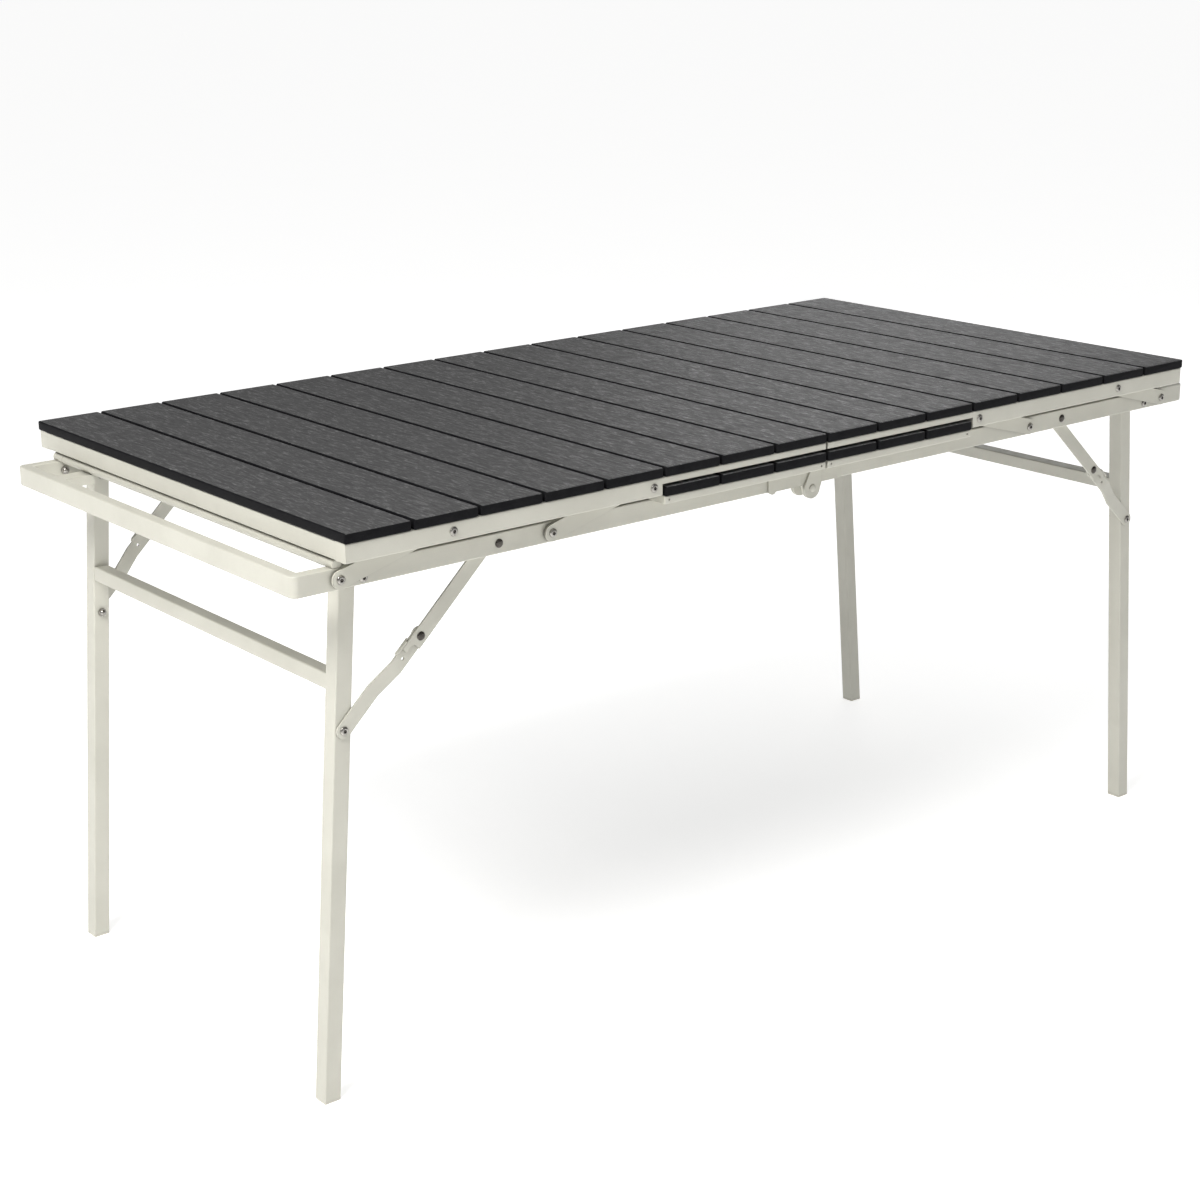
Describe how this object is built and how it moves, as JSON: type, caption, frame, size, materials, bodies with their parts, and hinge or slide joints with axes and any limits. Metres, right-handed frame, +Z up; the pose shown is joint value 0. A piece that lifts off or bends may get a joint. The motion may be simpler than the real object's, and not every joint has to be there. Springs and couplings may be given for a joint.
{
  "type": "folding picnic table",
  "caption": "Folding picnic table with a slatted top: hinged halves on splayed folding legs with braces, and slat panels that swing outward on parallel links to lengthen it.",
  "frame": {"origin": "on the floor under the middle of the table", "axes": "+X along the table's length, -Y towards the picture's near side, +Z up"},
  "size_m": [1.5256, 0.7334, 0.7],
  "materials": {
    "coat": "ivory powder coat",
    "slat": "charcoal composite with a fine embossed grain",
    "steel": "stainless",
    "cap": "moulded"
  },
  "bodies": {
    "left_frame": {"left_u_tube": "coat", "left_deck_frame": "coat", "left_deck_slats": "slat", "left_deck_screws": "steel", "left_rest_bar": "coat", "left_frame_bolts": "steel", "left_frame_spacers": "steel", "left_hinge_leaf": "coat", "left_corner_bracket": "coat", "hinge_pins": "coat"},
    "left_legs": {"left_leg_tubes": "coat", "left_leg_stretcher": "coat", "left_foot_caps": "cap", "left_brace_bolts": "steel"},
    "left_panel": {"left_panel_rails": "coat", "left_panel_cross_rails": "coat", "left_panel_slats": "slat", "left_panel_screws": "steel", "left_panel_bolts": "steel", "left_panel_spacers": "steel"},
    "left_front_upper_arm": {"left_front_upper_arm": "coat", "left_front_knee_rivet": "steel"},
    "left_front_lower_arm": {"left_front_lower_arm": "coat"},
    "left_front_outer_link": {"left_front_outer_link": "coat"},
    "left_front_inner_link": {"left_front_inner_link": "coat"},
    "left_back_upper_arm": {"left_back_upper_arm": "coat", "left_back_knee_rivet": "steel"},
    "left_back_lower_arm": {"left_back_lower_arm": "coat"},
    "left_back_outer_link": {"left_back_outer_link": "coat"},
    "left_back_inner_link": {"left_back_inner_link": "coat"},
    "right_frame": {"right_u_tube": "coat", "right_deck_frame": "coat", "right_deck_slats": "slat", "right_deck_screws": "steel", "right_rest_bar": "coat", "right_frame_bolts": "steel", "right_frame_spacers": "steel", "right_hinge_leaf": "coat"},
    "right_legs": {"right_leg_tubes": "coat", "right_leg_stretcher": "coat", "right_foot_caps": "cap", "right_brace_bolts": "steel"},
    "right_panel": {"right_panel_rails": "coat", "right_panel_cross_rails": "coat", "right_panel_slats": "slat", "right_panel_screws": "steel", "right_panel_bolts": "steel", "right_panel_spacers": "steel"},
    "right_front_upper_arm": {"right_front_upper_arm": "coat", "right_front_knee_rivet": "steel"},
    "right_front_lower_arm": {"right_front_lower_arm": "coat"},
    "right_front_outer_link": {"right_front_outer_link": "coat"},
    "right_front_inner_link": {"right_front_inner_link": "coat"},
    "right_back_upper_arm": {"right_back_upper_arm": "coat", "right_back_knee_rivet": "steel"},
    "right_back_lower_arm": {"right_back_lower_arm": "coat"},
    "right_back_outer_link": {"right_back_outer_link": "coat"},
    "right_back_inner_link": {"right_back_inner_link": "coat"}
  },
  "joints": [
    {"name": "left_leg_fold", "type": "hinge", "parent": "left_frame", "child": "left_legs", "pos_m": [-0.67305, 0, 0.637], "axis": [0, 1, 0], "range_deg": [-94.7, 0]},
    {"name": "left_front_brace_top", "type": "hinge", "parent": "left_frame", "child": "left_front_upper_arm", "pos_m": [-0.48955, 0, 0.6415], "axis": [0, 1, 0], "range_deg": [0, 42.45]},
    {"name": "left_front_brace_foot", "type": "hinge", "parent": "left_legs", "child": "left_front_lower_arm", "pos_m": [-0.68809, 0, 0.45412], "axis": [0, 1, 0], "range_deg": [-41.06, 0]},
    {"name": "left_back_brace_top", "type": "hinge", "parent": "left_frame", "child": "left_back_upper_arm", "pos_m": [-0.48955, 0, 0.6415], "axis": [0, 1, 0], "range_deg": [0, 42.45]},
    {"name": "left_back_brace_foot", "type": "hinge", "parent": "left_legs", "child": "left_back_lower_arm", "pos_m": [-0.68809, 0, 0.45412], "axis": [0, 1, 0], "range_deg": [-41.06, 0]},
    {"name": "left_panel_swing", "type": "hinge", "parent": "left_frame", "child": "left_front_outer_link", "pos_m": [-0.70505, 0, 0.6415], "axis": [0, 1, 0], "range_deg": [-160.16, 0]},
    {"name": "left_panel_level", "type": "hinge", "parent": "left_front_outer_link", "child": "left_panel", "pos_m": [-0.57275, 0, 0.677], "axis": [0, 1, 0], "range_deg": [0, 160.21]},
    {"name": "left_back_outer_link_turn", "type": "hinge", "parent": "left_frame", "child": "left_back_outer_link", "pos_m": [-0.70505, 0, 0.6415], "axis": [0, 1, 0], "range_deg": [-160.21, 0]},
    {"name": "left_front_inner_link_turn", "type": "hinge", "parent": "left_frame", "child": "left_front_inner_link", "pos_m": [-0.41605, 0, 0.6415], "axis": [0, 1, 0], "range_deg": [-160.21, 0]},
    {"name": "left_back_inner_link_turn", "type": "hinge", "parent": "left_frame", "child": "left_back_inner_link", "pos_m": [-0.41605, 0, 0.6415], "axis": [0, 1, 0], "range_deg": [-160.21, 0]},
    {"name": "centre_fold", "type": "hinge", "parent": "left_frame", "child": "right_frame", "pos_m": [0, 0, 0.6244], "axis": [0, 1, 0], "range_deg": [0, 90]},
    {"name": "right_leg_fold", "type": "hinge", "parent": "right_frame", "child": "right_legs", "pos_m": [0.67305, 0, 0.637], "axis": [0, 1, 0], "range_deg": [0, 94.7]},
    {"name": "right_front_brace_top", "type": "hinge", "parent": "right_frame", "child": "right_front_upper_arm", "pos_m": [0.48955, 0, 0.6415], "axis": [0, 1, 0], "range_deg": [-42.45, 0]},
    {"name": "right_front_brace_foot", "type": "hinge", "parent": "right_legs", "child": "right_front_lower_arm", "pos_m": [0.68809, 0, 0.45412], "axis": [0, 1, 0], "range_deg": [0, 41.06]},
    {"name": "right_back_brace_top", "type": "hinge", "parent": "right_frame", "child": "right_back_upper_arm", "pos_m": [0.48955, 0, 0.6415], "axis": [0, 1, 0], "range_deg": [-42.45, 0]},
    {"name": "right_back_brace_foot", "type": "hinge", "parent": "right_legs", "child": "right_back_lower_arm", "pos_m": [0.68809, 0, 0.45412], "axis": [0, 1, 0], "range_deg": [0, 41.06]},
    {"name": "right_panel_swing", "type": "hinge", "parent": "right_frame", "child": "right_front_outer_link", "pos_m": [0.70505, 0, 0.6415], "axis": [0, 1, 0], "range_deg": [0, 160.16]},
    {"name": "right_panel_level", "type": "hinge", "parent": "right_front_outer_link", "child": "right_panel", "pos_m": [0.57275, 0, 0.677], "axis": [0, 1, 0], "range_deg": [-160.21, 0]},
    {"name": "right_back_outer_link_turn", "type": "hinge", "parent": "right_frame", "child": "right_back_outer_link", "pos_m": [0.70505, 0, 0.6415], "axis": [0, 1, 0], "range_deg": [0, 160.21]},
    {"name": "right_front_inner_link_turn", "type": "hinge", "parent": "right_frame", "child": "right_front_inner_link", "pos_m": [0.41605, 0, 0.6415], "axis": [0, 1, 0], "range_deg": [0, 160.21]},
    {"name": "right_back_inner_link_turn", "type": "hinge", "parent": "right_frame", "child": "right_back_inner_link", "pos_m": [0.41605, 0, 0.6415], "axis": [0, 1, 0], "range_deg": [0, 160.21]}
  ],
  "couplings": [
    {"joint": "left_front_brace_top", "follows": "left_leg_fold", "ratio": -0.44773},
    {"joint": "left_front_brace_foot", "follows": "left_leg_fold", "ratio": 0.43306},
    {"joint": "left_back_brace_top", "follows": "left_leg_fold", "ratio": -0.44773},
    {"joint": "left_back_brace_foot", "follows": "left_leg_fold", "ratio": 0.43306},
    {"joint": "left_panel_level", "follows": "left_panel_swing", "ratio": -1},
    {"joint": "left_back_outer_link_turn", "follows": "left_panel_swing", "ratio": 1},
    {"joint": "left_front_inner_link_turn", "follows": "left_panel_swing", "ratio": 1},
    {"joint": "left_back_inner_link_turn", "follows": "left_panel_swing", "ratio": 1},
    {"joint": "right_front_brace_top", "follows": "right_leg_fold", "ratio": -0.44773},
    {"joint": "right_front_brace_foot", "follows": "right_leg_fold", "ratio": 0.43306},
    {"joint": "right_back_brace_top", "follows": "right_leg_fold", "ratio": -0.44773},
    {"joint": "right_back_brace_foot", "follows": "right_leg_fold", "ratio": 0.43306},
    {"joint": "right_panel_level", "follows": "right_panel_swing", "ratio": -1},
    {"joint": "right_back_outer_link_turn", "follows": "right_panel_swing", "ratio": 1},
    {"joint": "right_front_inner_link_turn", "follows": "right_panel_swing", "ratio": 1},
    {"joint": "right_back_inner_link_turn", "follows": "right_panel_swing", "ratio": 1}
  ]
}
